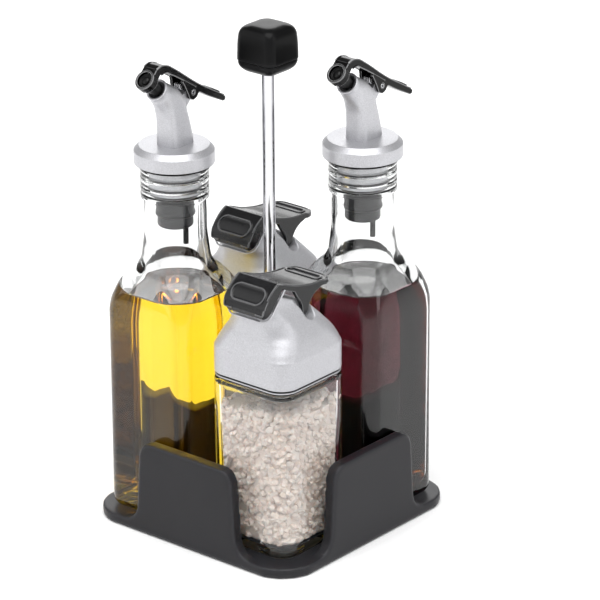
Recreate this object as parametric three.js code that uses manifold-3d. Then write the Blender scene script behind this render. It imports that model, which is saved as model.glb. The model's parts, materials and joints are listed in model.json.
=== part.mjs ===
// Cruet set: a square carrying tray with a rod and knob, two stoppered pouring bottles and two jars with
// lever lids.
// Millimetres, +Z up. The origin is the centre of the footprint, on the surface that the feet stand on.
// Every spout and lid opens towards -Y, and every thumb lever reaches towards +Y.
import * as THREE from "three";
import { mergeVertices } from "three/addons/utils/BufferGeometryUtils.js";
import Module from "manifold-3d";

// ---------- driving dimensions ----------
const TRAY = { half: 75, corner: 22.5, underside: 0.8, floor: 6, wallTop: 56.3, wall: 7 };
const PANEL = { topHalf: 25, topCorner: 10, sideHalf: 36, footHalf: 49, footRise: 12 };
const RIB = { half: 4.5, top: 14 };
const BOSS = { radius: 10, top: 19, counterbore: 8.6, counterboreTop: 8, webTop: 11 };
const FOOT = { radius: 6, height: 2, inset: 52 };
const ROD = { radius: 3.5, stud: 2.5, foot: 2.6, shoulder: 270.6, top: 281.5 };
const KNOB = { seam: 269.5, bottom: 262.8, top: 289.6, half: 13.4, corner: 5 };
const BOTTLE_BAY = 36.9;
const JAR_BAY = 36.5;
const NECK = { radius: 17.4, bore: 13.6, mouth: 15.8, top: 210, ringRadius: 19.2, grooveRadius: 17.9 };
const GLASS_GAP = 0.3;
const LIQUID_TOP = 137;
const POURER = { disc: 22.5, under: 212, edge: 219.2, top: 222.2, bevel: 19.7, bore: 3.4 };
const MOUTH = { y: -13.6, z: 257, tilt: 48.7, rim: 5.9, bore: 4.2, depth: 16 };
const PIN = { y: 11.6, z: 249.8, radius: 1.4, half: 4.7 };
const SPRING = { y: 5.4, z: 254.4, radius: 1.95, wire: 0.35, length: 4.4, peg: 1.3 };
const LEVER = { half: 4.8, cheekIn: 3, head: 6, headLow: 7.6, headTop: 12.7 };
const AIR_TUBE = { x: 4.2, y: 3.7, radius: 1.5, bottom: 164, top: 206 };
const JAR = { half: 28.05, neck: 22, neckBore: 18.6, bodyTop: 107.6, neckTop: 120, fillTop: 92 };
const CAP = { bottom: 108, skirt: 28.05 };
const LID = { half: 14.8, legIn: 12, pivotY: 6.3, pivotZ: 143.8, pin: 1, flapEnd: -16.2 };
const FACE = { y: -15, z: 157.8, angle: 48.2 };

const deg = THREE.MathUtils.degToRad;
const wasm = await Module();
wasm.setup();

// ---------- solids ----------
// A closed geometry as a manifold solid, with its shared vertices merged.
function solid(geometry) {
  const bare = new THREE.BufferGeometry();
  bare.setAttribute("position", geometry.getAttribute("position").clone());
  if (geometry.index) bare.setIndex(geometry.index.clone());
  const merged = mergeVertices(bare, 1e-4);
  const index = merged.index.array;
  const triVerts = [];
  for (let i = 0; i < index.length; i += 3) {
    const [a, b, c] = [index[i], index[i + 1], index[i + 2]];
    if (a !== b && b !== c && c !== a) triVerts.push(a, b, c);
  }
  const mesh = new wasm.Mesh({
    numProp: 3,
    vertProperties: new Float32Array(merged.getAttribute("position").array),
    triVerts: new Uint32Array(triVerts),
  });
  return new wasm.Manifold(mesh);
}

function geometryOf(body) {
  const mesh = body.getMesh();
  const geometry = new THREE.BufferGeometry();
  geometry.setAttribute("position", new THREE.BufferAttribute(new Float32Array(mesh.vertProperties), 3));
  geometry.setIndex(new THREE.BufferAttribute(new Uint32Array(mesh.triVerts), 1));
  return geometry;
}

function join(...geometries) {
  return geometryOf(geometries.map(solid).reduce((all, next) => all.add(next)));
}

function cut(base, ...tools) {
  return geometryOf(tools.map(solid).reduce((rest, tool) => rest.subtract(tool), solid(base)));
}

function common(...geometries) {
  return geometryOf(geometries.map(solid).reduce((all, next) => all.intersect(next)));
}

// ---------- shapes ----------
// A solid through stacked rings of points, each ring running anticlockwise seen from the last ring's side.
function loft(rings) {
  const count = rings[0].length;
  const points = rings.flat();
  const middle = (ring) => ring.reduce((sum, p) => sum.add(p), new THREE.Vector3()).divideScalar(count);
  const bottom = points.push(middle(rings[0])) - 1;
  const top = points.push(middle(rings[rings.length - 1])) - 1;
  const last = (rings.length - 1) * count;
  const index = [];
  for (let j = 0; j < count; j++) {
    const next = (j + 1) % count;
    index.push(bottom, next, j, top, last + j, last + next);
    for (let i = 0; i < last; i += count) {
      index.push(i + j, i + next, i + count + next, i + j, i + count + next, i + count + j);
    }
  }
  return new THREE.BufferGeometry().setFromPoints(points).setIndex(index);
}

// How far a square with rounded corners reaches from its centre along a direction.
function squareReach(half, corner, angle) {
  const x = Math.abs(Math.cos(angle));
  const y = Math.abs(Math.sin(angle));
  const long = Math.max(x, y);
  const short = Math.min(x, y);
  if ((half * short) / long <= half - corner) return half / long;
  const along = (half - corner) * (x + y);
  return along + Math.sqrt(along * along - 2 * (half - corner) ** 2 + corner * corner);
}

const QUADRANT = [0, 22, 39, 51, 68];
const RING_ANGLES = [0, 90, 180, 270].flatMap((start) => QUADRANT.map((step) => deg(start + step)));

function squareRing(half, corner, z) {
  return RING_ANGLES.map((angle) => {
    const reach = squareReach(half, corner, angle);
    return new THREE.Vector3(reach * Math.cos(angle), reach * Math.sin(angle), z);
  });
}

// A loft of rounded squares, from rows of [z, half width, corner radius].
function squareLoft(rows) {
  return loft(rows.map(([z, half, corner]) => squareRing(half, Math.min(corner, half), z)));
}

// A superellipse across a path in the YZ plane; tilt leans its normal from +Z towards -Y.
function tiltedRing({ y, z, tilt, halfX, halfV, power }, count = 18) {
  const across = new THREE.Vector3(0, Math.cos(deg(tilt)), Math.sin(deg(tilt)));
  const bend = (value) => Math.sign(value) * Math.abs(value) ** (2 / power);
  return Array.from({ length: count }, (_, i) => {
    const angle = ((i + 0.5) / count) * 2 * Math.PI;
    const ring = new THREE.Vector3(halfX * bend(Math.cos(angle)), y, z);
    return ring.addScaledVector(across, halfV * bend(Math.sin(angle)));
  });
}

// A solid of revolution about Z, from rows of [radius, z] that start and end on the axis, rising.
function turned(rows, segments = 24) {
  const profile = rows.map(([radius, z]) => new THREE.Vector2(radius, z));
  return new THREE.LatheGeometry(profile, segments).rotateX(Math.PI / 2);
}

function rod(radius, low, high, segments = 16) {
  return turned([[0, low], [radius, low], [radius, high], [0, high]], segments);
}

function block(x0, x1, y0, y1, z0, z1) {
  const box = new THREE.BoxGeometry(x1 - x0, y1 - y0, z1 - z0);
  return box.translate((x0 + x1) / 2, (y0 + y1) / 2, (z0 + z1) / 2);
}

function extrudeUp(shape, low, high, curveSegments = 6) {
  const options = { depth: high - low, bevelEnabled: false, curveSegments };
  return new THREE.ExtrudeGeometry(shape, options).translate(0, 0, low);
}

// An outline drawn in (y, z), extruded along X.
function extrudeAcross(shape, low, high, curveSegments = 6) {
  const turn = new THREE.Matrix4().set(0, 0, 1, low, 1, 0, 0, 0, 0, 1, 0, 0, 0, 0, 0, 1);
  const options = { depth: high - low, bevelEnabled: false, curveSegments };
  return new THREE.ExtrudeGeometry(shape, options).applyMatrix4(turn);
}

// An outline drawn in (x, z), extruded along Y.
function extrudeBack(shape, low, high, curveSegments = 6) {
  const options = { depth: high - low, bevelEnabled: false, curveSegments };
  return new THREE.ExtrudeGeometry(shape, options).rotateX(Math.PI / 2).translate(0, high, 0);
}

function polygon(points) {
  return new THREE.Shape(points.map(([x, y]) => new THREE.Vector2(x, y)));
}

// A smooth closed outline: each list of points is one curve, and straight lines join the lists.
function smoothOutline(...curves) {
  const shape = new THREE.Shape();
  curves.forEach((points, i) => {
    const [first, ...rest] = points.map(([x, y]) => new THREE.Vector2(x, y));
    if (i === 0) shape.moveTo(first.x, first.y);
    else shape.lineTo(first.x, first.y);
    if (rest.length) shape.splineThru(rest);
  });
  return shape;
}

function roundedSquare(half, corner) {
  const side = half - corner;
  const shape = new THREE.Shape();
  shape.absarc(side, side, corner, 0, Math.PI / 2);
  shape.absarc(-side, side, corner, Math.PI / 2, Math.PI);
  shape.absarc(-side, -side, corner, Math.PI, 1.5 * Math.PI);
  shape.absarc(side, -side, corner, 1.5 * Math.PI, 2 * Math.PI);
  return shape;
}

// A turned solid laid along the tilted axis of the spout's mouth, with z measured out from the mouth's rim.
function alongMouth(geometry) {
  return geometry.rotateX(deg(MOUTH.tilt)).translate(0, MOUTH.y, MOUTH.z);
}

// Laid on the cap's sloping mouth, with +Y running up the slope.
function onFace(geometry) {
  return geometry.rotateX(deg(FACE.angle)).translate(0, FACE.y, FACE.z);
}

function acrossPin(geometry, y, z) {
  return geometry.rotateY(Math.PI / 2).translate(0, y, z);
}

// ---------- scene graph ----------
const FINISH = {
  charcoal: { color: 0x3d3c40, roughness: 0.5, metalness: 0 },
  black: { color: 0x171718, roughness: 0.3, metalness: 0 },
  rubber: { color: 0x1c1c1d, roughness: 0.8, metalness: 0 },
  greyRubber: { color: 0x6b6b6d, roughness: 0.7, metalness: 0 },
  chrome: { color: 0xe6e6e8, roughness: 0.08, metalness: 1 },
  steel: { color: 0xb9bbc0, roughness: 0.3, metalness: 1 },
  brass: { color: 0xc9a44a, roughness: 0.35, metalness: 1 },
  satin: { color: 0xc8c7cc, roughness: 0.4, metalness: 0.5 },
  glass: { color: 0xeef3f3, roughness: 0.05, metalness: 0, transparent: true, opacity: 0.35 },
  oil: { color: 0xf2d21c, roughness: 0.2, metalness: 0 },
  vinegar: { color: 0x3d0710, roughness: 0.2, metalness: 0 },
  salt: { color: 0xdccdc6, roughness: 0.9, metalness: 0 },
  pepper: { color: 0x3a2f28, roughness: 0.9, metalness: 0 },
};

const cruetSet = new THREE.Group();

function add(group, name, geometry, finish) {
  const mesh = new THREE.Mesh(geometry, new THREE.MeshStandardMaterial(FINISH[finish]));
  mesh.name = name;
  group.add(mesh);
}

// ---------- tray ----------
// One wall panel: a flat top with round corners, near-upright sides, and feet that sweep out to the floor.
function wallPanel() {
  const { topHalf, topCorner, sideHalf, footHalf, footRise } = PANEL;
  const { floor, wallTop } = TRAY;
  const low = floor - 1;
  const shoulder = topHalf + topCorner - 0.8;
  const shape = new THREE.Shape();
  shape.moveTo(-footHalf, low);
  shape.lineTo(footHalf, low);
  shape.lineTo(footHalf, floor);
  shape.quadraticCurveTo(sideHalf + 1, floor, sideHalf, floor + footRise);
  shape.lineTo(shoulder, wallTop - topCorner);
  shape.quadraticCurveTo(shoulder - 0.8, wallTop, topHalf, wallTop);
  shape.lineTo(-topHalf, wallTop);
  shape.quadraticCurveTo(0.8 - shoulder, wallTop, -shoulder, wallTop - topCorner);
  shape.lineTo(-sideHalf, floor + footRise);
  shape.quadraticCurveTo(-sideHalf - 1, floor, -footHalf, floor);
  return extrudeBack(shape, -TRAY.half, -TRAY.half + TRAY.wall, 5);
}

const FEET = [["front_left", -1, -1], ["front_right", 1, -1], ["back_right", 1, 1], ["back_left", -1, 1]];

function trayShell() {
  const plate = extrudeUp(roundedSquare(TRAY.half, TRAY.corner), TRAY.underside, TRAY.floor, 5);
  const walls = [0, 1, 2, 3].map((i) => wallPanel().rotateZ((i * Math.PI) / 2));
  const inside = TRAY.half - 1;
  const low = TRAY.floor - 1;
  const ribs = [
    block(-inside, inside, -RIB.half, RIB.half, low, RIB.top),
    block(-RIB.half, RIB.half, -inside, inside, low, RIB.top),
  ];
  const body = join(plate, ...walls, ...ribs, rod(BOSS.radius, low, BOSS.top, 24));
  const seat = rod(FOOT.radius + 0.2, 0, FOOT.height, 16);
  const footSeats = FEET.map(([, i, j]) => seat.clone().translate(i * FOOT.inset, j * FOOT.inset, 0));
  return cut(
    body,
    rod(BOSS.counterbore, 0, BOSS.counterboreTop, 24),
    rod(ROD.stud + 0.1, 1, BOSS.webTop + 1, 16),
    rod(ROD.radius + 0.1, BOSS.webTop, BOSS.top + 1, 16),
    ...footSeats,
  );
}

add(cruetSet, "tray", trayShell(), "charcoal");

function rubberFoot() {
  const { radius, height } = FOOT;
  return turned([[0, 0], [radius - 0.6, 0], [radius, 0.6], [radius, height], [0, height]], 16);
}

FEET.forEach(([name, i, j]) => {
  add(cruetSet, "foot_" + name, rubberFoot().translate(i * FOOT.inset, j * FOOT.inset, 0), "rubber");
});

const WASHER = { radius: 7, thickness: 1.2 };
const NUT = { flat: 4, height: 3.6 };
const washerLow = BOSS.counterboreTop - WASHER.thickness;
const studHole = rod(ROD.stud + 0.1, 0, BOSS.counterboreTop + 1, 16);
add(cruetSet, "rod_washer", cut(rod(WASHER.radius, washerLow, BOSS.counterboreTop, 24), studHole), "steel");
const nutBlank = rod(NUT.flat / Math.cos(Math.PI / 6), washerLow - NUT.height, washerLow, 6);
add(cruetSet, "rod_nut", cut(nutBlank, studHole), "steel");
add(cruetSet, "base_plug", rod(BOSS.counterbore - 0.15, TRAY.underside + 0.1, 2.2, 24), "rubber");

// ---------- rod and knob ----------
const rodShape = [
  [0, ROD.foot], [ROD.stud, ROD.foot], [ROD.stud, BOSS.webTop], [ROD.radius, BOSS.webTop],
  [ROD.radius, ROD.shoulder], [ROD.stud, ROD.shoulder], [ROD.stud, ROD.top], [0, ROD.top],
];
add(cruetSet, "lift_rod", turned(rodShape, 20), "chrome");

const KNOB_BOSS = { radius: 7, low: ROD.shoulder + 0.4, insert: 4.5, insertTop: 282 };
const KNOB_OUTSIDE = [
  [KNOB.seam, KNOB.half, KNOB.corner], [282, KNOB.half - 0.4, KNOB.corner],
  [286.2, KNOB.half - 1.1, KNOB.corner], [288.5, KNOB.half - 2.7, KNOB.corner],
  [KNOB.top, KNOB.half - 5, KNOB.corner],
];
const knobPocket = squareLoft([[KNOB.seam - 1, KNOB.half - 2.6, 3.4], [285.6, KNOB.half - 3.2, 3.4]]);
const knobCore = rod(KNOB_BOSS.radius, KNOB_BOSS.low, 287, 16);
const insertHole = rod(KNOB_BOSS.insert + 0.05, KNOB.seam - 1, KNOB_BOSS.insertTop + 0.5, 12);
const knobWalls = cut(squareLoft(KNOB_OUTSIDE), knobPocket);
add(cruetSet, "knob_shell", cut(join(knobWalls, knobCore), insertHole), "black");
const insertBlank = rod(KNOB_BOSS.insert, KNOB_BOSS.low + 0.6, KNOB_BOSS.insertTop, 12);
add(cruetSet, "knob_insert", cut(insertBlank, rod(ROD.stud + 0.1, 260, 290, 20)), "brass");
const coverRows = [
  [KNOB.bottom, KNOB.half - 4.6, 4.4], [KNOB.bottom + 1.2, KNOB.half - 2.4, 4.8],
  [KNOB.bottom + 3.2, KNOB.half - 0.9, KNOB.corner], [KNOB.seam - 0.3, KNOB.half - 0.1, KNOB.corner],
];
add(cruetSet, "knob_cover", cut(squareLoft(coverRows), rod(ROD.radius + 0.1, 260, 272, 20)), "black");

// ---------- bottles ----------
// The outside of a bottle: rounded base edge, square body, shoulders that round into a ringed neck.
const BOTTLE_OUTSIDE = [
  [6, 25.2, 7.5], [7.4, 28, 9], [11, 29.85, 10], [124.6, 29.85, 10], [130.6, 29.4, 10.5],
  [136.7, 28.1, 11.5], [142.8, 26.1, 13], [148.8, 22.7, 15], [152.4, 20, 16.5], [156, 19.2, 18],
  [162, 18.7, 18.7], [172, 17.6, 17.6], [190.6, NECK.radius, NECK.radius],
];
const NECK_RINGS = [[192, 194.8], [195.6, 198.4], [199.4, 203.8], [204.8, NECK.top]];
const BOTTLE_INSIDE = [
  [13, 22, 8], [15, 25.8, 9], [124.6, 26.3, 8.5], [133, 25.2, 10], [142, 22.5, 12], [150, 17.6, 14],
  [158, 15.2, 15.2], [172, NECK.bore, NECK.bore], [190.6, NECK.bore, NECK.bore],
  [194.2, NECK.mouth, NECK.mouth],
];

function ringRows() {
  return NECK_RINGS.flatMap(([low, high], i) => {
    const rows = [[low, NECK.ringRadius, NECK.ringRadius], [high, NECK.ringRadius, NECK.ringRadius]];
    if (i === NECK_RINGS.length - 1) return rows;
    return [...rows, [high + 0.4, NECK.grooveRadius, NECK.grooveRadius]];
  });
}

function bottleGlass() {
  const open = [...BOTTLE_INSIDE, [NECK.top + 1, NECK.mouth, NECK.mouth]];
  return cut(squareLoft([...BOTTLE_OUTSIDE, ...ringRows()]), squareLoft(open));
}

// What fills a vessel up to a level, with a small gap to the glass all round.
function fillOf(insideRows, level) {
  const rows = insideRows.filter(([z]) => z < level);
  const [z0, half0, corner0] = rows[rows.length - 1];
  const [z1, half1, corner1] = insideRows[rows.length];
  const mix = (from, to) => THREE.MathUtils.mapLinear(level, z0, z1, from, to);
  const top = [level, mix(half0, half1), mix(corner0, corner1)];
  const inset = ([z, half, corner], i) => [i ? z : z + GLASS_GAP, half - GLASS_GAP, corner];
  return squareLoft([...rows, top].map(inset));
}

// The spout leans forward from a rounded rectangle on the disc to a round mouth.
const SPOUT_RINGS = [
  { y: 1.1, z: POURER.top - 1, tilt: 0, halfX: 7.2, halfV: 9.2, power: 5 },
  { y: 1.1, z: POURER.top, tilt: 0, halfX: 7.2, halfV: 9.2, power: 5 },
  { y: 0.1, z: 232, tilt: 0, halfX: 6.9, halfV: 8.5, power: 5 },
  { y: -1.4, z: 240, tilt: 6, halfX: 6.8, halfV: 7.7, power: 4.5 },
  { y: -3.4, z: 246.7, tilt: 22, halfX: 6.8, halfV: 8, power: 3.5 },
  { y: -6.5, z: 250.8, tilt: 36, halfX: 6.8, halfV: 7.6, power: 2.6 },
  { y: -10.2, z: 254, tilt: 44, halfX: 6.4, halfV: 6.6, power: 2.2 },
  { y: MOUTH.y, z: MOUTH.z, tilt: MOUTH.tilt, halfX: MOUTH.rim, halfV: MOUTH.rim, power: 2 },
];

// The ear behind the spout, which holds the hinge pin.
const EAR = [
  [1, 238], [6.6, 238.4], [8.6, 242], [12.4, 246.2], [14, 247.6], [14.8, 250.4], [13, 252.8], [10, 252.8],
  [6.4, 250], [3, 249],
];

function pourerBody() {
  const { disc, under, edge, top, bevel } = POURER;
  const { bore, depth } = MOUTH;
  const plate = turned([[0, under], [disc, under], [disc, edge], [bevel, top], [0, top]], 28);
  const spout = loft(SPOUT_RINGS.map((ring) => tiltedRing(ring)));
  const mouthRows = [[0, -depth], [bore, -depth], [bore, -1.6], [5.1, 0.2], [5.1, 1], [0, 1]];
  return cut(
    join(plate, spout, extrudeAcross(polygon(EAR), -2.6, 2.6)),
    rod(POURER.bore, under - 1, 244, 16),
    alongMouth(turned(mouthRows, 16)),
    rod(AIR_TUBE.radius + 0.1, under - 1, 218, 12).translate(AIR_TUBE.x, AIR_TUBE.y, 0),
    acrossPin(rod(PIN.radius + 0.05, -8, 8, 16), PIN.y, PIN.z),
  );
}

// The lever: a strap that arches from the round head over the hinge to the thumb tail. Two hinge cheeks
// hang from it, and the far one reaches forward to carry the peg that the spring is wound on.
function pourLever() {
  const strap = smoothOutline(
    [[-17.8, 270.6], [-14, 271.6], [-9.4, 270.6], [-5.3, 268.2]],
    [[13.7, 254.9], [19.3, 251.4], [25, 248.2], [36.8, 241.6]],
    [[38.2, 240.4], [37.8, 238.6], [36.2, 238.2]],
    [[25, 243.8], [19.3, 247], [15.6, 249.4]],
    [[13.4, 252.6], [5.4, 257.8], [-6.5, 265], [-10.8, 267.1], [-13.8, 266.6], [-17, 264]],
    [[-21.4, 266.8]],
  );
  const hub = [[8.4, 246.8], [11.4, 245.4], [14.4, 246.4], [16.4, 248.6], [19.3, 247.4]];
  const nearCheek = smoothOutline([[3, 257.6], [5.6, 253], [7.2, 249.8]], hub, [[19, 251], [4, 261]]);
  const farFront = [[2.4, 260], [2.6, 256], [4.4, 252.4], [6.8, 250]];
  const farCheek = smoothOutline(farFront, hub, [[19, 251], [4, 261]]);
  const body = join(
    extrudeAcross(strap, -LEVER.half, LEVER.half, 1),
    extrudeAcross(nearCheek, LEVER.cheekIn, LEVER.half, 1),
    extrudeAcross(farCheek, -LEVER.half, -LEVER.cheekIn, 1),
    alongMouth(rod(LEVER.head, LEVER.headLow, LEVER.headTop, 18)),
    acrossPin(rod(SPRING.peg, -LEVER.cheekIn - 0.5, 2.6, 10), SPRING.y, SPRING.z),
  );
  return cut(
    body,
    alongMouth(rod(LEVER.head + 0.6, -4, LEVER.headLow, 18)),
    alongMouth(rod(3, 5, 20, 12)),
    alongMouth(rod(4.6, LEVER.headTop - 2.4, 20, 12)),
    acrossPin(rod(PIN.radius + 0.05, -8, 8, 16), PIN.y, PIN.z),
    acrossPin(rod(4, -LEVER.cheekIn, LEVER.cheekIn, 12), PIN.y, PIN.z),
  );
}

// The plug hangs in the lever's head by a waist between two flanges.
function pourPlug() {
  const { headLow, headTop } = LEVER;
  const rows = [
    [0, 0.3], [4.1, 0.3], [4.6, 0.9], [4.6, headLow - 0.3], [2.7, headLow - 0.3], [2.7, headTop - 2.1],
    [4.3, headTop - 2.1], [3.9, headTop - 1], [0, headTop - 1],
  ];
  return alongMouth(turned(rows, 14));
}

class Helix extends THREE.Curve {
  constructor(radius, turns, length) {
    super();
    Object.assign(this, { radius, turns, length });
  }

  getPoint(t, target = new THREE.Vector3()) {
    const angle = t * this.turns * 2 * Math.PI;
    const x = (t - 0.5) * this.length;
    return target.set(x, this.radius * Math.cos(angle), this.radius * Math.sin(angle));
  }
}

function hingeSpring() {
  const wire = new THREE.Shape().absarc(0, 0, SPRING.wire, 0, 2 * Math.PI);
  const path = new Helix(SPRING.radius, 3.5, SPRING.length);
  const options = { steps: 28, bevelEnabled: false, curveSegments: 2, extrudePath: path };
  return new THREE.ExtrudeGeometry(wire, options).translate(0, SPRING.y, SPRING.z);
}

// The stopper: a slim foot with a sealing rib, and a wide ribbed plug in the neck's mouth.
function stopper() {
  const rows = [
    [0, 175], [9.4, 175], [10, 175.8], [10, 181], [11.2, 181.8], [11.2, 183], [10.7, 184],
    [10.7, 191.6], [13, 193.2], [15.4, 195.4], [15.4, 202.4], [14.8, 203.2], [15.4, 204], [15.4, 210.2],
    [0, 210.2],
  ];
  const airHole = rod(AIR_TUBE.radius + 0.1, 170, 215, 12).translate(AIR_TUBE.x, AIR_TUBE.y, 0);
  return cut(turned(rows, 18), rod(POURER.bore - 1, 170, 215, 12).translate(-1.5, -1.5, 0), airHole);
}

function airTube() {
  const { radius, bottom, top, x, y } = AIR_TUBE;
  return cut(rod(radius, bottom, top, 12), rod(0.8, bottom - 1, top + 1, 8)).translate(x, y, 0);
}

function hingePin() {
  return acrossPin(cut(rod(PIN.radius, -PIN.half, PIN.half, 16), rod(0.7, -8, 8, 10)), PIN.y, PIN.z);
}

const BOTTLES = [
  { name: "oil", x: -BOTTLE_BAY, y: -BOTTLE_BAY },
  { name: "vinegar", x: BOTTLE_BAY, y: BOTTLE_BAY },
];

BOTTLES.forEach(({ name, x, y }) => {
  const bottle = new THREE.Group();
  bottle.position.set(x, y, 0);
  cruetSet.add(bottle);
  add(bottle, name + "_bottle", bottleGlass(), "glass");
  add(bottle, name + "_fill", fillOf(BOTTLE_INSIDE, LIQUID_TOP), name);
  add(bottle, name + "_pourer", pourerBody(), "satin");
  const gasket = cut(rod(20.8, NECK.top + 0.3, POURER.under, 24), rod(NECK.mouth, 200, 220, 24));
  add(bottle, name + "_gasket", gasket, "rubber");
  add(bottle, name + "_stopper", stopper(), "greyRubber");
  add(bottle, name + "_air_tube", airTube(), "rubber");
  add(bottle, name + "_pour_lever", pourLever(), "black");
  add(bottle, name + "_pour_plug", pourPlug(), "rubber");
  add(bottle, name + "_hinge_pin", hingePin(), "steel");
  add(bottle, name + "_hinge_spring", hingeSpring(), "steel");
});

// ---------- jars ----------
const JAR_OUTSIDE = [
  [6, 24.4, 8], [7.4, 26.8, 9.6], [10, JAR.half, 10.8], [105.4, JAR.half, 10.8],
  [106.8, JAR.half - 0.6, 11], [JAR.bodyTop, JAR.half - 2, 11],
];
const JAR_INSIDE = [
  [11, 20, 7], [12.6, 24, 8.2], [103.2, 25.2, 8.4], [104.8, 24, 9], [105.4, 21.6, 12],
  [106.4, JAR.neckBore, JAR.neckBore],
];

function jarGlass() {
  const { neck, neckBore, neckTop, bodyTop } = JAR;
  const low = bodyTop - 1;
  const collarRows = [[0, low], [neck, low], [neck, neckTop - 1], [neck - 1, neckTop], [0, neckTop]];
  const open = [...JAR_INSIDE, [neckTop + 1, neckBore, neckBore]];
  return cut(join(squareLoft(JAR_OUTSIDE), turned(collarRows, 24)), squareLoft(open));
}

// A rounded rectangle that reaches halfX to each side, front towards -Y and back towards +Y.
function capRing([z, halfX, front, back, corner]) {
  const steps = 3;
  const centres = [[halfX - corner, back - corner], [corner - halfX, back - corner],
    [corner - halfX, corner - front], [halfX - corner, corner - front]];
  return centres.flatMap(([x, y], quarter) =>
    Array.from({ length: steps + 1 }, (_, i) => {
      const angle = ((quarter + i / steps) * Math.PI) / 2;
      return new THREE.Vector3(x + corner * Math.cos(angle), y + corner * Math.sin(angle), z);
    }),
  );
}

const CAP_OUTSIDE = [
  [CAP.bottom, CAP.skirt, CAP.skirt, CAP.skirt, 11], [124.6, CAP.skirt, CAP.skirt, CAP.skirt, 11],
  [127.6, 27.4, 27, 27.4, 10.8], [131.5, 25.8, 24.8, 25.6, 10], [136.5, 22.8, 23.6, 22.3, 9],
  [141.5, 19.6, 23.8, 18, 8], [146, 17, 25, 13.2, 7], [152, 14.6, 25, 8.5, 5.5], [162, 13.4, 25, 6, 5],
];
const CAP_INSIDE = [
  [CAP.bottom - 1, 26.1, 26.1, 26.1, 9.2], [122, 26.1, 26.1, 26.1, 9.2], [130, 23.2, 22.4, 23, 8],
  [137, 15, 21, 15, 6], [140, 9.8, 21, 9, 5], [150, 9.8, 21, 4, 4],
];

// A solid half space above the line that runs back and down from the cap's front face.
function aboveCap() {
  const run = Math.cos(deg(FACE.angle));
  const rise = Math.sin(deg(FACE.angle));
  const low = [FACE.y - 20 * run, FACE.z - 20 * rise];
  const edge = [low, [FACE.y, FACE.z], [9, 147.6], [40, 134], [40, 180], [-45, 180], [-45, low[1]]];
  return extrudeAcross(polygon(edge), -30, 30);
}

const LEG_NOTCH = [
  [-5.6, 160], [-4, 152.8], [0.2, 147], [1.8, 142.2], [3.6, 140.4], [6.3, 139.8], [9, 140.6], [10.6, 142.6],
  [13.4, 146], [18, 151], [18, 160],
];

function jarCap() {
  const outside = loft(CAP_OUTSIDE.map(capRing));
  const underTop = aboveCap().translate(0, 0.6, -2.4);
  const inside = cut(loft(CAP_INSIDE.map(capRing)), underTop);
  const slot = extrudeUp(roundedSquare(4, 2), -12, 6, 3).scale(2.2, 1, 1);
  const mouth = slot.rotateX(deg(FACE.angle)).translate(0, -20.4, 151.8);
  const notch = polygon(LEG_NOTCH);
  return cut(
    cut(outside, aboveCap(), inside),
    mouth,
    extrudeAcross(notch, LID.legIn - 0.5, 30),
    extrudeAcross(notch, -30, 0.5 - LID.legIn),
    acrossPin(rod(LID.pin + 0.05, -20, 20, 12), LID.pivotY, LID.pivotZ),
  );
}

// The lid lever: a bulging flap over the cap's sloping mouth, a thumb plate behind it, and two hinge legs.
function lidLever() {
  const profile = smoothOutline(
    [[-15.7, 165.4], [-20.8, 162.2], [-24.8, 158.3], [-27.6, 154.2], [-28.4, 150.4]],
    [[-27.6, 148.2], [-25.7, 147.1]],
    [[-13.4, 160.9]],
    [[-12.2, 161], [-3.8, 157.6], [5, 155.4], [13.2, 154.2], [29.4, 153.2]],
    [[30, 154.4], [29.6, 156]],
    [[22, 156.5], [13.2, 157.1], [5, 158.5], [-3.8, 160.9], [-10, 163.3], [-15, 165.5]],
  );
  const front = new THREE.Shape();
  front.moveTo(LID.half, 60);
  front.lineTo(-LID.half, 60);
  front.lineTo(-LID.half, LID.flapEnd + 6);
  front.quadraticCurveTo(-LID.half, LID.flapEnd, 6 - LID.half, LID.flapEnd);
  front.lineTo(LID.half - 6, LID.flapEnd);
  front.quadraticCurveTo(LID.half, LID.flapEnd, LID.half, LID.flapEnd + 6);
  const plan = new THREE.Shape();
  plan.moveTo(-LID.half, -40);
  plan.lineTo(LID.half, -40);
  plan.lineTo(LID.half, 23);
  plan.quadraticCurveTo(LID.half, 31, LID.half - 7, 31);
  plan.lineTo(7 - LID.half, 31);
  plan.quadraticCurveTo(-LID.half, 31, -LID.half, 23);
  const plate = common(
    extrudeAcross(profile, -LID.half, LID.half, 1),
    onFace(extrudeUp(front, -50, 20, 4)),
    extrudeUp(plan, 140, 172, 4),
  );
  const leg = smoothOutline(
    [
      [-2.5, 157], [0.4, 152.4], [2.7, 149.4], [4, 145.4], [4.1, 142.8], [6.3, 140.9], [8.5, 142.8],
      [9.4, 145.6], [12, 149.4], [16.2, 152.2], [20, 153.4],
    ],
    [[20, 154.6], [5, 156.8]],
  );
  const legs = [extrudeAcross(leg, LID.legIn, LID.half, 1), extrudeAcross(leg, -LID.half, -LID.legIn, 1)];
  return cut(join(plate, ...legs), acrossPin(rod(LID.pin + 0.05, -20, 20, 12), LID.pivotY, LID.pivotZ));
}

const JARS = [
  { name: "salt", x: JAR_BAY, y: -JAR_BAY },
  { name: "pepper", x: -JAR_BAY, y: JAR_BAY },
];

function jarSeal() {
  const rows = [
    [22.7, 111], [25, 111.6], [25, 112.6], [23.6, 113.2], [25, 113.8], [25, 114.8], [22.7, 115.4],
    [22.7, 111],
  ];
  return turned(rows, 18);
}

function lidPin() {
  return acrossPin(rod(LID.pin, 0.2 - LID.half, LID.half - 0.2, 12), LID.pivotY, LID.pivotZ);
}

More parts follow.
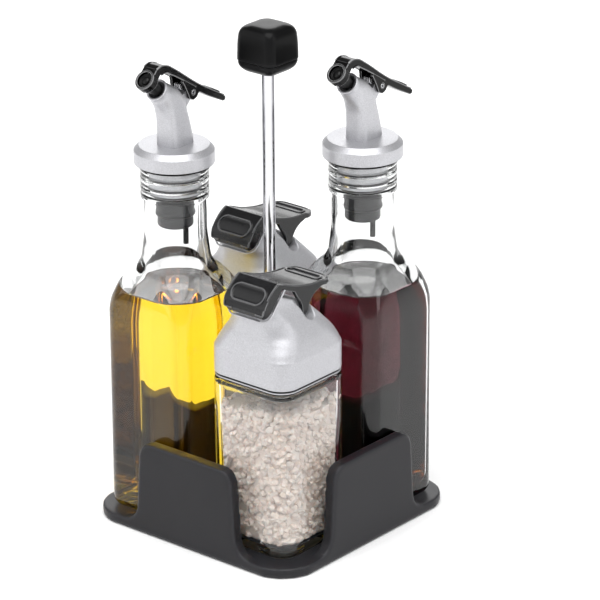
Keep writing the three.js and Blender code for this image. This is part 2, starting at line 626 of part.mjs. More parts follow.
JARS.forEach(({ name, x, y }) => {
  const jar = new THREE.Group();
  jar.position.set(x, y, 0);
  cruetSet.add(jar);
  add(jar, name + "_jar", jarGlass(), "glass");
  add(jar, name + "_fill", fillOf(JAR_INSIDE, JAR.fillTop), name);
  add(jar, name + "_seal", jarSeal(), "rubber");
  add(jar, name + "_cap", jarCap(), "satin");
  add(jar, name + "_lid_lever", lidLever(), "charcoal");
  add(jar, name + "_lid_pin", lidPin(), "steel");
});

export default cruetSet;
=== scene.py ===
import json
from math import atan2, copysign, cos, hypot, pi, radians, sin, tau

import bmesh
import bpy
import numpy as np
from mathutils import Matrix, Vector


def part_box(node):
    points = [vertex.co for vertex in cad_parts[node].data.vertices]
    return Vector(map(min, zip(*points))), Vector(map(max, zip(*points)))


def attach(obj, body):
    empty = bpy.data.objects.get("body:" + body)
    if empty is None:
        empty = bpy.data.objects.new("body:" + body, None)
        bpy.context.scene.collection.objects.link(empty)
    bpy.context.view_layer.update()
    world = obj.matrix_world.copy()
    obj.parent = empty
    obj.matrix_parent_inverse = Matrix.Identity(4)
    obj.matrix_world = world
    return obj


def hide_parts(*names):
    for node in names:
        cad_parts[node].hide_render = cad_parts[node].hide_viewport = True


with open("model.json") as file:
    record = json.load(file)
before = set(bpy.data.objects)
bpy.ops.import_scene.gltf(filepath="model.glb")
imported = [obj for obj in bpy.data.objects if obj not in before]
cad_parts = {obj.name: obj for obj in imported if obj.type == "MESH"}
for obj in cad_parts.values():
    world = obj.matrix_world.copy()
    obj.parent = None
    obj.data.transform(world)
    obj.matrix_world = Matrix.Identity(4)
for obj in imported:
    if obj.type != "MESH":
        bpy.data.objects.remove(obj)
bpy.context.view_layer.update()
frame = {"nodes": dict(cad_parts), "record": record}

MM = 0.001  # the shapes below are drawn in millimetres

# ---------- driving dimensions, in millimetres ----------
FINE = 14  # steps round each rounded corner of a square ring
STRAIGHT = 6  # steps along each of its sides
ROUND = 96  # points round a turned piece
GLASS_BITE = 0.12  # how far a fill reaches into the glass, so that no air shows between them
SLACK = 0.1  # between a pin or a rod and its bore
VOXELS = dict(tray=0.8, spout=0.3, lever=0.25, cap=0.45, cap_lip=0.42, lid=0.3)  # how fine the skins are
GRAIN_SEED = 11

TRAY = dict(half=75, corner=22.5, underside=0.8, floor=6, wall_top=56.3, wall=7)
PANEL = dict(top_half=25, top_corner=10, side_half=36, foot_half=49, foot_rise=12)
RIB = dict(half=4.5, top=14)
BOSS = dict(radius=10, top=19, counterbore=8.6, counterbore_top=8, web_top=11)
FOOT = dict(radius=6, height=2, inset=52)
ROD = dict(radius=3.5, stud=2.5, foot=2.6, shoulder=270.6, top=281.5)
KNOB = dict(seam=269.5, half=13.4, corner=5)
NECK = dict(radius=17.4, bore=15.5, mouth=15.8, top=210, ring=19.2, groove=17.3)
NECK_RINGS = [(192, 194.8), (195.6, 198.4), (199.4, 203.8), (204.8, 210)]
LIQUID_TOP = 137
POURER = dict(disc=22.5, under=212, edge=219.2, top=222.2, bevel=19.7)
MOUTH = dict(y=-13.6, z=257, tilt=48.7, rim=6.3, bore=4.6)
PIN = dict(y=11.6, z=249.8, radius=1.4, half=4.7)
SPRING = dict(y=5.4, z=254.4, radius=1.9, wire=0.36, length=4.6, turns=4, peg=1.3)
LEVER = dict(half=4.8, cheek_in=3, head=6, head_low=7.6, head_top=12.7)
AIR_TUBE = dict(x=4.2, y=3.7, radius=1.55, bottom=163, top=206)
JAR = dict(neck=22, neck_bore=18.6, neck_top=120, fill_top=92)
LID = dict(half=14.8, leg_in=12, flap_end=-16.2)
FACE = dict(y=-15, z=157.8, angle=48.2)


# ---------- shapes: each is a list of points in millimetres and a list of faces ----------
def merged(*shapes):
    """Several shapes as one."""
    points = []
    faces = []
    for some, more in shapes:
        first = len(points)
        points.extend(some)
        faces.extend([tuple(first + i for i in face) for face in more])
    return points, faces


def moved(shape, matrix):
    points, faces = shape
    return [tuple(matrix @ Vector(p)) for p in points], faces


def shifted(shape, x=0, y=0, z=0):
    return moved(shape, Matrix.Translation((x, y, z)))


def loft(rings, closed=False):
    """A skin through rings that all have the same number of points: flat at both ends, or closed by joining
    the last ring to the first."""
    count = len(rings[0])
    last = len(rings) - 1
    points = [tuple(p) for ring in rings for p in ring]
    faces = []
    for i in range(last + 1 if closed else last):
        n = (i + 1) % len(rings)
        for j in range(count):
            k = (j + 1) % count
            faces.append((i * count + j, i * count + k, n * count + k, n * count + j))
    if not closed:
        faces.append(tuple(reversed(range(count))))
        faces.append(tuple(range(last * count, last * count + count)))
    return points, faces


def smooth(rows, steps=6):
    """A curve through the rows that never overshoots them, with extra rows between each two."""
    rows = np.array(rows, float)
    gaps = np.linalg.norm(np.diff(rows, axis=0), axis=1)[:, None]
    slopes = np.diff(rows, axis=0) / gaps
    before, after = slopes[:-1], slopes[1:]
    same = before * after > 0
    wide, narrow = gaps[1:], gaps[:-1]
    weights = 3 * (wide + narrow)
    with np.errstate(divide="ignore", invalid="ignore"):
        inner = weights / ((2 * wide + narrow) / before + (wide + 2 * narrow) / after)
    tangents = np.vstack([slopes[:1], np.where(same, inner, 0), slopes[-1:]])
    result = []
    for i in range(len(rows) - 1):
        for t in np.linspace(0, 1, steps, endpoint=False):
            a = (1 + 2 * t) * (1 - t) ** 2
            b = t * (1 - t) ** 2 * gaps[i]
            c = t * t * (3 - 2 * t)
            d = t * t * (t - 1) * gaps[i]
            result.append(a * rows[i] + b * tangents[i] + c * rows[i + 1] + d * tangents[i + 1])
    result.append(rows[-1])
    return [tuple(float(v) for v in row) for row in result]


def quadratic(start, pull, end, steps=14):
    """A curve from start to end that bends towards pull, without its first point."""
    a, b, c = Vector(start), Vector(pull), Vector(end)
    return [tuple((1 - t) ** 2 * a + 2 * t * (1 - t) * b + t * t * c)
            for t in (i / steps for i in range(1, steps + 1))]


def filleted(path, radius):
    """A polyline whose inner corners are rounded, each as far as its neighbours leave room."""
    result = [tuple(path[0])]
    for before, corner, after in zip(path, path[1:], path[2:]):
        p, a, b = Vector(corner), Vector(before) - Vector(corner), Vector(after) - Vector(corner)
        reach = min(radius, 0.45 * a.length, 0.45 * b.length)
        start = p + a.normalized() * reach
        end = p + b.normalized() * reach
        if a.length > 4 * reach:
            result.append(tuple(start + a.normalized() * 0.12 * reach))
        result += [tuple(start), *quadratic(start, p, end, 4)]
        if b.length > 4 * reach:
            result.append(tuple(end + b.normalized() * 0.12 * reach))
    result.append(tuple(path[-1]))
    return result


def turned(profile, count=ROUND):
    """A solid of revolution about Z from (radius, z) points, closed at both ends."""
    angles = [tau * i / count for i in range(count)]
    return loft([[(max(r, 0.01) * cos(a), max(r, 0.01) * sin(a), z) for a in angles]
                 for r, z in profile])


def turned_ring(profile, count=ROUND):
    """A ring turned about Z from a closed (radius, z) outline."""
    angles = [tau * i / count for i in range(count)]
    return loft([[(r * cos(a), r * sin(a), z) for r, z in profile] for a in angles], closed=True)


def rod(radius, low, high):
    return turned([(radius, low), (radius, high)], 48)


def square_ring(half, corner, z):
    """A square with rounded corners, at a height."""
    corner = min(corner, half - 0.02)
    side = half - corner
    angles = [i * pi / 2 / FINE for i in range(FINE + 1)]
    bend = [(side + corner * cos(a), side + corner * sin(a)) for a in angles]
    run = [(side - 2 * side * i / STRAIGHT, half) for i in range(1, STRAIGHT)]
    ring = []
    for c, s in [(1, 0), (0, 1), (-1, 0), (0, -1)]:
        ring += [(c * x - s * y, s * x + c * y, z) for x, y in bend + run]
    return ring


def square_loft(rows):
    """A loft of rounded squares, from rows of (z, half width, corner radius)."""
    return loft([square_ring(half, corner, z) for z, half, corner in rows])


def extruded(outline, low, high, axis):
    """A prism on an outline: drawn in (y, z) for axis x, in (x, z) for y and in (x, y) for z."""
    place = dict(
        x=lambda u, v, w: (w, u, v),
        y=lambda u, v, w: (u, w, v),
        z=lambda u, v, w: (u, v, w),
    )[axis]
    return loft([[place(u, v, w) for u, v in outline] for w in (low, high)])


def block(x0, x1, y0, y1, z0, z1):
    return extruded([(x0, y0), (x1, y0), (x1, y1), (x0, y1)], z0, z1, "z")


def outline(*curves):
    """A closed outline: each list of points is one smooth curve, and straight lines join the lists."""
    return [p for points in curves for p in (smooth(points, 5) if len(points) > 2 else points)]


def both_sides(outline, low, high):
    """A prism across x from low to high, and its mirror image."""
    return extruded(outline, low, high, "x"), extruded(outline, -high, -low, "x")


def arc(x, y, radius, start, end, steps=10):
    angles = [radians(start + (end - start) * i / steps) for i in range(steps + 1)]
    return [(x + radius * cos(a), y + radius * sin(a)) for a in angles]


def rounded_box(half_x, half_y, corner, steps=10):
    """The outline of a rectangle with rounded corners."""
    x, y = half_x - corner, half_y - corner
    return [*arc(x, y, corner, 0, 90, steps), *arc(-x, y, corner, 90, 180, steps),
            *arc(-x, -y, corner, 180, 270, steps), *arc(x, -y, corner, 270, 360, steps)]


def swept(path, radius, count=12, closed=False):
    """A round tube along a path of points."""
    path = [Vector(p) for p in path]
    rings = []
    side = None
    for i, p in enumerate(path):
        after = path[(i + 1) % len(path)] if closed or i + 1 < len(path) else p
        before = path[i - 1] if closed or i else p
        ahead = (after - before).normalized()
        if side is None:
            side = ahead.orthogonal().normalized()
        side = (side - ahead * side.dot(ahead)).normalized()
        up = ahead.cross(side)
        angles = [tau * j / count for j in range(count)]
        rings.append([p + radius * (cos(a) * side + sin(a) * up) for a in angles])
    return loft(rings, closed)


def linked(name, data):
    """A new object in the scene, for a mesh, lamp or camera."""
    made = bpy.data.objects.new(name, data)
    bpy.context.scene.collection.objects.link(made)
    return made


def formed(name, shape):
    """A new object in the scene, made from a shape."""
    points, faces = shape
    mesh = bpy.data.meshes.new(name)
    mesh.from_pydata(points, [], faces)
    return linked(name, mesh)


def remove(made):
    mesh = made.data
    bpy.data.objects.remove(made)
    bpy.data.meshes.remove(mesh)


def evaluated(shape, modify):
    """The shape after the modifiers that modify adds to an object made from it."""
    work = formed("work", shape)
    modify(work)
    depsgraph = bpy.context.evaluated_depsgraph_get()
    result = bpy.data.meshes.new_from_object(work.evaluated_get(depsgraph))
    points = [tuple(v.co) for v in result.vertices]
    faces = [tuple(p.vertices) for p in result.polygons]
    remove(work)
    bpy.data.meshes.remove(result)
    return points, faces


def combined(shape, operation, *tools):
    """The shape joined with, cut by or kept inside each tool in turn."""
    for tool in tools:
        cutter = formed("tool", tool)

        def modify(work):
            boolean = work.modifiers.new("boolean", "BOOLEAN")
            boolean.operation = operation
            boolean.solver = "EXACT"
            boolean.object = cutter

        shape = evaluated(shape, modify)
        remove(cutter)
    return shape


def skinned(shape, voxel, passes):
    """One skin round overlapping closed shells, with its edges and inner corners softened."""
    def modify(work):
        remesh = work.modifiers.new("skin", "REMESH")
        remesh.mode = "VOXEL"
        remesh.voxel_size = voxel
        soften = work.modifiers.new("soften", "SMOOTH")
        soften.factor = 0.5
        soften.iterations = passes

    return evaluated(shape, modify)


# ---------- materials ----------
WHITE = (1.0, 1.0, 1.0)


def put(node, values):
    """Sets inputs of a node by name."""
    for name, value in values.items():
        node.inputs[name].default_value = value


def new_material(name, values):
    """A material whose shader has these values, with the shader, the nodes and the links."""
    material = bpy.data.materials.new(name)
    material.use_nodes = True
    nodes = material.node_tree.nodes
    shader = nodes["Principled BSDF"]
    put(shader, values)
    return material, shader, nodes, material.node_tree.links


def noise_at(nodes, links, scale, detail=3):
    """Noise in the part's own metres, with a feature about 1/scale metres across."""
    coordinates = nodes.new("ShaderNodeTexCoord")
    noise = nodes.new("ShaderNodeTexNoise")
    put(noise, {"Scale": scale, "Detail": detail, "Roughness": 0.55})
    links.new(coordinates.outputs["Object"], noise.inputs["Vector"])
    return noise.outputs["Fac"]


def remapped(nodes, links, value, low, high, from_low=0.3, from_high=0.7):
    change = nodes.new("ShaderNodeMapRange")
    put(change, {"From Min": from_low, "From Max": from_high, "To Min": low, "To Max": high})
    links.new(value, change.inputs["Value"])
    return change.outputs["Result"]


def blended(nodes, links, share, colour_a, colour_b):
    mix = nodes.new("ShaderNodeMix")
    mix.data_type = "RGBA"
    links.new(share, mix.inputs["Factor"])
    for socket, colour in (("A", colour_a), ("B", colour_b)):
        place = next(s for s in mix.inputs if s.name == socket and s.type == "RGBA")
        if isinstance(colour, tuple):
            place.default_value = (*colour, 1.0)
        else:
            links.new(colour, place)
    return next(s for s in mix.outputs if s.type == "RGBA")


def bumped(nodes, links, height, depth):
    """A normal from a height, with depth in millimetres."""
    bump = nodes.new("ShaderNodeBump")
    put(bump, {"Strength": 1.0, "Distance": depth * MM})
    links.new(height, bump.inputs["Height"])
    return bump.outputs["Normal"]


def moulded(name, dark, light, roughness, spread=0.06, grain=2200, depth=0.012, shine=0.3, edge=None):
    """A moulded finish: two close tones, fine grain, uneven gloss and, when an edge colour is given, a
    painted highlight that lightens its sharp edges.
    """
    material, shader, nodes, links = new_material(name, {"Specular IOR Level": shine})
    broad = noise_at(nodes, links, 45)
    fine = noise_at(nodes, links, grain, detail=2)
    colour = blended(nodes, links, remapped(nodes, links, broad, 0, 1), dark, light)
    if edge:
        # painted highlight: sharp edges, found by their pointiness, are lightened towards the edge colour
        geometry = nodes.new("ShaderNodeNewGeometry")
        edge_highlight = remapped(nodes, links, geometry.outputs["Pointiness"], 0, 1, 0.506, 0.545)
        colour = blended(nodes, links, edge_highlight, colour, edge)
    links.new(colour, shader.inputs["Base Color"])
    gloss = remapped(nodes, links, broad, roughness - spread, roughness + spread)
    links.new(gloss, shader.inputs["Roughness"])
    links.new(bumped(nodes, links, fine, depth), shader.inputs["Normal"])
    return material


def silver_paint(name, smoothest, roughest):
    """Satin silver: a pale metal tone with fine flakes that catch the light."""
    material, shader, nodes, links = new_material(name, {"Metallic": 0.8})
    flakes = nodes.new("ShaderNodeTexVoronoi")
    put(flakes, {"Scale": 3600})
    coordinates = nodes.new("ShaderNodeTexCoord")
    links.new(coordinates.outputs["Object"], flakes.inputs["Vector"])
    shade = nodes.new("ShaderNodeSeparateColor")
    links.new(flakes.outputs["Color"], shade.inputs["Color"])
    bright = remapped(nodes, links, shade.outputs["Red"], 0, 1, 0, 1)
    colour = blended(nodes, links, bright, (0.46, 0.46, 0.48), (0.60, 0.60, 0.625))
    links.new(colour, shader.inputs["Base Color"])
    gloss = remapped(nodes, links, shade.outputs["Green"], smoothest, roughest, 0, 1)
    links.new(gloss, shader.inputs["Roughness"])
    fine = noise_at(nodes, links, 1800, detail=2)
    links.new(bumped(nodes, links, fine, 0.006), shader.inputs["Normal"])
    return material


def plated(name, colour, roughness, grain, rim):
    """Bright metal with faint polishing marks, and a painted reflection of dark surroundings: darker towards
    the rim colour where it turns away from the view.
    """
    material, shader, nodes, links = new_material(name, {"Metallic": 1.0})
    # painted reflection: the colour goes towards rim as the face turns away from the view
    turn = nodes.new("ShaderNodeLayerWeight")
    put(turn, {"Blend": 0.5})
    share = remapped(nodes, links, turn.outputs["Facing"], 0, 1, 0.09, 0.5)
    links.new(blended(nodes, links, share, colour, rim), shader.inputs["Base Color"])
    fine = noise_at(nodes, links, grain, detail=2)
    links.new(remapped(nodes, links, fine, roughness * 0.6, roughness * 1.5), shader.inputs["Roughness"])
    links.new(bumped(nodes, links, fine, 0.0015), shader.inputs["Normal"])
    return material


def see_through(name, refraction, contact, absorbed, density, shadow, wave=0.0):
    """A clear material whose colour deepens with the depth looked through, its faces wavy by millimetres. It
    bends light by refraction where it meets air, and by contact where glass and liquid meet, because those
    two bend light nearly alike. Lamps shine through it, tinted by shadow, and light what is inside."""
    material, shader, nodes, links = new_material(
        name, {"Base Color": (*WHITE, 1.0), "Transmission Weight": 1.0, "IOR": refraction, "Roughness": 0.0})
    output = nodes["Material Output"]
    wetted = nodes.new("ShaderNodeAttribute")
    wetted.attribute_name = "wetted"
    links.new(remapped(nodes, links, wetted.outputs["Fac"], refraction, contact, 0, 1), shader.inputs["IOR"])
    if wave:
        links.new(bumped(nodes, links, noise_at(nodes, links, 60, detail=1), wave), shader.inputs["Normal"])
    depth = nodes.new("ShaderNodeVolumeAbsorption")
    put(depth, {"Color": (*absorbed, 1.0), "Density": density})
    links.new(depth.outputs["Volume"], output.inputs["Volume"])
    passing = nodes.new("ShaderNodeBsdfTransparent")
    put(passing, {"Color": (*shadow, 1.0)})
    ray = nodes.new("ShaderNodeLightPath")
    mix = nodes.new("ShaderNodeMixShader")
    links.new(ray.outputs["Is Shadow Ray"], mix.inputs["Fac"])
    links.new(shader.outputs["BSDF"], mix.inputs[1])
    links.new(passing.outputs["BSDF"], mix.inputs[2])
    links.new(mix.outputs["Shader"], output.inputs["Surface"])
    return material


def grains_of(name, dark, light, roughness, translucency, bump):
    """Loose grains, each of its own tone between two."""
    material, shader, nodes, links = new_material(
        name, {"Subsurface Weight": translucency, "Subsurface Radius": (0.003, 0.0022, 0.0018),
               "Roughness": roughness})
    geometry = nodes.new("ShaderNodeNewGeometry")
    mottle = noise_at(nodes, links, 500)
    share = nodes.new("ShaderNodeMath")
    share.operation = "MULTIPLY_ADD"
    share.inputs[1].default_value = 0.75
    links.new(geometry.outputs["Random Per Island"], share.inputs[0])
    links.new(remapped(nodes, links, mottle, 0, 0.25), share.inputs[2])
    links.new(blended(nodes, links, share.outputs["Value"], dark, light), shader.inputs["Base Color"])
    links.new(bumped(nodes, links, mottle, bump), shader.inputs["Normal"])
    return material


# Each edge colour below is a painted highlight along sharp edges.
FINISHES = dict(
    tray_plastic=moulded("tray_plastic", (0.014, 0.0135, 0.016), (0.018, 0.0175, 0.020), 0.38, shine=0.22,
                         edge=(0.03, 0.0295, 0.033)),
    foot_rubber=moulded("foot_rubber", (0.012, 0.012, 0.012), (0.02, 0.02, 0.02), 0.82, depth=0.03),
    # Each plated rim colour below is a painted dark reflection where a face turns away from the view.
    steel_hardware=plated("steel_hardware", (0.72, 0.72, 0.74), 0.22, 2500, (0.4, 0.4, 0.42)),
    rod_chrome=plated("rod_chrome", (0.78, 0.78, 0.80), 0.08, 1500, (0.20, 0.20, 0.22)),
    knob_plastic=moulded("knob_plastic", (0.0022, 0.0022, 0.0024), (0.0034, 0.0034, 0.0037), 0.3, 0.02,
                         shine=0.1, edge=(0.02, 0.02, 0.021)),
    brass_insert=plated("brass_insert", (0.80, 0.62, 0.28), 0.25, 1800, (0.6, 0.42, 0.16)),
    clear_glass=see_through("clear_glass", 1.5, 1.002, (0.52, 0.58, 0.56), 14, (0.93, 0.95, 0.94), wave=0.03),
    olive_oil=see_through("olive_oil", 1.47, 0.985, (0.998, 0.89, 0.06), 62, (1.0, 0.85, 0.12)),
    dark_vinegar=see_through("dark_vinegar", 1.36, 0.94, (0.60, 0.27, 0.36), 125, (0.25, 0.03, 0.03)),
    salt_crystals=grains_of("salt_crystals", (0.57, 0.47, 0.42), (0.72, 0.64, 0.59), 0.42, 0.8, 0.01),
    pepper_corns=grains_of("pepper_corns", (0.012, 0.008, 0.006), (0.15, 0.09, 0.058), 0.6, 0.0, 0.12),
    spout_satin=silver_paint("spout_satin", 0.36, 0.52),
    seal_rubber=moulded("seal_rubber", (0.003, 0.003, 0.003), (0.006, 0.006, 0.006), 0.3, depth=0.004,
                        shine=0.2),
    stopper_rubber=moulded("stopper_rubber", (0.009, 0.009, 0.0105), (0.014, 0.014, 0.016), 0.32, depth=0.008,
                           shine=0.22),
    lever_plastic=moulded("lever_plastic", (0.002, 0.002, 0.002), (0.003, 0.003, 0.003), 0.12, 0.03,
                          grain=1200, depth=0.001, shine=0.16, edge=(0.32, 0.32, 0.325)),
    cap_satin=silver_paint("cap_satin", 0.46, 0.62),
    lid_plastic=moulded("lid_plastic", (0.006, 0.006, 0.0068), (0.009, 0.009, 0.0098), 0.24, shine=0.32,
                        edge=(0.16, 0.16, 0.165)),
)


# ---------- pieces ----------
SLOT_OF = {part["node"]: part["material_slot"] for part in frame["record"]["subparts"]}
BODY_OF = {node: body for body, nodes in frame["record"]["behaviour"]["bodies"].items() for node in nodes}


def piece(name, node, shape, at=(0, 0), sharp=40, stands_for=True, body=None):
    """A finished piece that takes the finish of a CAD node, rides on its body unless another is named, and
    stands in its place unless it is an extra."""
    points, faces = shape
    x, y = at
    made = formed(name, ([((p[0] + x) * MM, (p[1] + y) * MM, p[2] * MM) for p in points], faces))
    mesh = made.data
    mesh.polygons.foreach_set("use_smooth", [True] * len(mesh.polygons))
    mesh.update()
    outward(mesh)
    mesh.set_sharp_from_angle(angle=radians(sharp))
    mesh.materials.append(FINISHES[SLOT_OF[node]])
    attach(made, body or BODY_OF[node])
    if stands_for:
        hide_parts(node)
    return made


def outward(mesh):
    """Turns every face of a closed mesh outwards."""
    work = bmesh.new()
    work.from_mesh(mesh)
    bmesh.ops.recalc_face_normals(work, faces=work.faces)
    work.to_mesh(mesh)
    work.free()


def centre_of(node):
    """The middle of a node in plan, in millimetres."""
    low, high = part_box(node)
    return (low.x + high.x) / 2 / MM, (low.y + high.y) / 2 / MM


# ---------- tray ----------
def wall_panel():
    """One wall: a flat top with round corners, near-upright sides and feet that sweep out to the floor."""
    top, corner, side, foot, rise = (PANEL[k] for k in
                                     ("top_half", "top_corner", "side_half", "foot_half", "foot_rise"))
    floor, high = TRAY["floor"], TRAY["wall_top"]
    shoulder = top + corner - 0.8
    right = [
        (foot, floor - 2), (foot, floor),
        *quadratic((foot, floor), (side + 1, floor), (side, floor + rise)),
        *quadratic((shoulder, high - corner), (shoulder - 0.8, high), (top, high)),
    ]
    left = [(-x, z) for x, z in reversed(right)]
    return extruded(right + left, -TRAY["half"], -TRAY["half"] + TRAY["wall"], "y")


def tray():
    low, half = TRAY["floor"] - 2, TRAY["half"]
    plate = extruded(rounded_box(half, half, TRAY["corner"], 24), TRAY["underside"], TRAY["floor"], "z")
    walls = [moved(wall_panel(), Matrix.Rotation(i * pi / 2, 4, "Z")) for i in range(4)]
    inside = half - 2
    ribs = [block(-inside, inside, -RIB["half"], RIB["half"], low, RIB["top"]),
            block(-RIB["half"], RIB["half"], -inside, inside, low, RIB["top"])]
    boss = rod(BOSS["radius"], low, BOSS["top"])
    seats = [shifted(rod(FOOT["radius"] + 0.3, -2, FOOT["height"]), i * FOOT["inset"], j * FOOT["inset"])
             for i in (-1, 1) for j in (-1, 1)]
    solid = skinned(merged(plate, *walls, *ribs, boss), VOXELS["tray"], 0)
    holes = [rod(BOSS["counterbore"], -2, BOSS["counterbore_top"]),
             rod(ROD["radius"] + SLACK, 4, BOSS["top"] + 2), *seats]
    solid = combined(solid, "DIFFERENCE", *holes)
    points, faces = skinned(solid, VOXELS["tray"], 4)
    points = [(max(-half, min(half, x)), max(-half, min(half, y)), z) for x, y, z in points]
    piece("tray_moulding", "tray", (points, faces))


def feet():
    radius, height = FOOT["radius"], FOOT["height"]
    grooved = filleted([(0, 0.6), (2.2, 0.6), (2.6, 0), (3.6, 0), (4, 0.5), (4.6, 0.5), (5, 0), (radius, 0),
                        (radius, height), (0, height)], 0.35)
    for node in ("foot_front_left", "foot_front_right", "foot_back_right", "foot_back_left"):
        piece(node + "_pad", node, turned(grooved, 64), centre_of(node))


def rod_and_knob():
    radius, stud, foot, shoulder, top = (ROD[k] for k in ("radius", "stud", "foot", "shoulder", "top"))
    web = BOSS["web_top"]
    stepped = filleted([(0, foot), (stud, foot), (stud, web), (radius, web), (radius, shoulder),
                        (stud, shoulder), (stud, top), (0, top)], 0.4)
    piece("lift_rod_polished", "lift_rod", turned(stepped, 64))
    half, corner, seam = KNOB["half"], KNOB["corner"], KNOB["seam"]
    shell = [(seam + 0.05, half - 1.5, corner - 1), (seam + 0.05, half - 0.4, corner),
             (seam + 0.5, half, corner), (278, half - 0.15, corner), (284.2, half - 0.6, corner),
             (287, half - 1.6, corner), (288.8, half - 3.6, corner), (289.5, half - 6, corner),
             (289.6, half - 9, 4), (289.6, 0.5, 0.45)]
    piece("knob_shell_moulding", "knob_shell", square_loft(smooth(shell, 5)))
    cover = [(262.8, 3.9, 3.8), (262.8, half - 5.4, 4.2), (263.1, half - 4.2, 4.4), (264.2, half - 2.5, 4.8),
             (266.2, half - 0.9, corner), (268.4, half - 0.3, corner), (seam - 0.4, half - 0.3, corner),
             (seam - 0.2, half - 1.2, corner - 0.8), (seam - 0.2, 3.9, 3.8)]
    piece("knob_cover_moulding", "knob_cover", square_loft(smooth(cover, 4)))


# ---------- bottles ----------
BOTTLE_OUTSIDE = [
    (11, 29.85, 10), (118, 29.85, 10), (124.6, 29.85, 10), (130.6, 29.4, 10.5), (136.7, 28.1, 11.5),
    (142.8, 26.1, 13), (148.8, 22.7, 15), (152.4, 20, 16.5), (156, 19.2, 18), (162, 18.7, 18.7),
    (172, 17.6, 17.6), (190.6, 17.4, 17.4),
]
BOTTLE_FOOT = [
    (7.6, 3, 2.8), (7.2, 16, 7), (6.3, 22, 7.5), (6, 24.2, 8), (6.5, 26.6, 8.6), (8.2, 28.9, 9.4),
]
BOTTLE_INSIDE = [
    (14, 3, 2.8), (13.6, 14, 7), (13.2, 20, 8), (14, 24.4, 8.6), (17, 26, 9), (24, 26.1, 9), (118, 26.3, 8.5),
    (124.6, 26.3, 9.6), (133, 25.2, 14.2), (142, 22.5, 17.4), (150, 18.2, 17), (158, 16.4, 16.4),
    (172, 15.6, 15.6),
]


def neck_rows():
    """The rings pressed round the neck, each with soft edges, and the grooves between them."""
    ring, groove = NECK["ring"], NECK["groove"]
    path = [(190.6, NECK["radius"]), (191.6, NECK["radius"])]
    for low, high in NECK_RINGS:
        path += [(low, ring), (high, ring), (high + 0.2, groove), (high + 0.6, groove)]
    path = path[:-2] + [(NECK["top"], NECK["mouth"] + 0.2)]
    rows = filleted([(r, z) for z, r in path], 0.55)
    return [(z, r, r) for r, z in rows]


def bottle_glass():
    outside = smooth([*BOTTLE_FOOT, *BOTTLE_OUTSIDE], 7)
    inside = smooth(BOTTLE_INSIDE, 7)
    bore, mouth = NECK["bore"], NECK["mouth"]
    lip = [(NECK["top"] - 0.6, mouth, mouth), (194, mouth, mouth), (190, bore, bore)]
    return square_loft([*outside, *neck_rows(), *lip, *reversed(inside)])


def liquid_fill(inside_rows, level):
    """What fills a vessel up to a level, its surface drawn up a little where it meets the glass."""
    rows = [row for row in smooth(inside_rows, 5) if row[0] < level - 0.5]
    half, corner = rows[-1][1:]
    wet = [(z0, h + GLASS_BITE, c) for z0, h, c in rows]
    surface = [(level + 0.9, half + GLASS_BITE, corner), (level + 0.35, half - 0.5, corner - 0.4),
               (level + 0.08, half - 1.4, corner - 1), (level, half - 3, corner - 2), (level, 3, 2.8)]
    wet[0] = (wet[0][0] - GLASS_BITE, *wet[0][1:])
    return square_loft([*wet, *surface])


def inside_bottle(x, y, z):
    """True on the inner wall of a bottle, false on its outside."""
    heights, halves = zip(*((row[0], row[1]) for row in BOTTLE_INSIDE))
    wall = float(np.interp(z, heights[2:], halves[2:])) + 1.2
    return 12 < z and max(abs(x), abs(y)) < wall and hypot(x, y) < 1.414 * wall - 2.4


def mark_wetted(made, test, at):
    """Marks each face of a piece that passes the test where liquid and glass touch."""
    x, y = at
    mesh = made.data
    marks = [float(test(f.center.x / MM - x, f.center.y / MM - y, f.center.z / MM)) for f in mesh.polygons]
    mesh.attributes.new("wetted", "FLOAT", "FACE").data.foreach_set("value", marks)


def tilted_ring(y, z, tilt, half_x, half_v, power, count=72):
    """A superellipse across a path in the YZ plane; tilt leans its normal from +Z towards -Y."""
    lean = radians(tilt)
    ring = []
    for i in range(count):
        a = tau * (i + 0.5) / count
        c, s = cos(a), sin(a)
        u = half_x * copysign(abs(c) ** (2 / power), c)
        v = half_v * copysign(abs(s) ** (2 / power), s)
        ring.append((u, y + v * cos(lean), z + v * sin(lean)))
    return ring


SPOUT = [
    (1.1, 221, 0, 7.2, 9.2, 5), (1.1, 222.2, 0, 7.2, 9.2, 5), (0.1, 232, 0, 6.9, 8.5, 5),
    (-1.4, 240, 6, 6.8, 7.7, 4.5), (-3.4, 246.7, 22, 6.8, 8, 3.5), (-6.5, 250.8, 36, 6.8, 7.6, 2.6),
    (-10.2, 254, 44, 6.6, 6.8, 2.2), (-12.2, 255.8, 48, 6.3, 6.3, 2),
    (-13.6, 257, 48.7, MOUTH["rim"], MOUTH["rim"], 2),
]
EAR = [(1, 238), (6.6, 238.4), (8.6, 242), (12.4, 246.2), (14, 247.6), (14.8, 250.4), (13, 252.8),
       (10, 252.8), (6.4, 250), (3, 249)]


def leant(shape, degrees, y, z):
    """Turned about X and taken to (y, z)."""
    return moved(shape, Matrix.Translation((0, y, z)) @ Matrix.Rotation(radians(degrees), 4, "X"))


def along_mouth(shape):
    """A turned shape laid along the tilted axis of the spout's mouth, with z measured out from the rim."""
    return leant(shape, MOUTH["tilt"], MOUTH["y"], MOUTH["z"])


def across_pin(shape, y, z):
    return moved(shape, Matrix.Translation((0, y, z)) @ Matrix.Rotation(pi / 2, 4, "Y"))


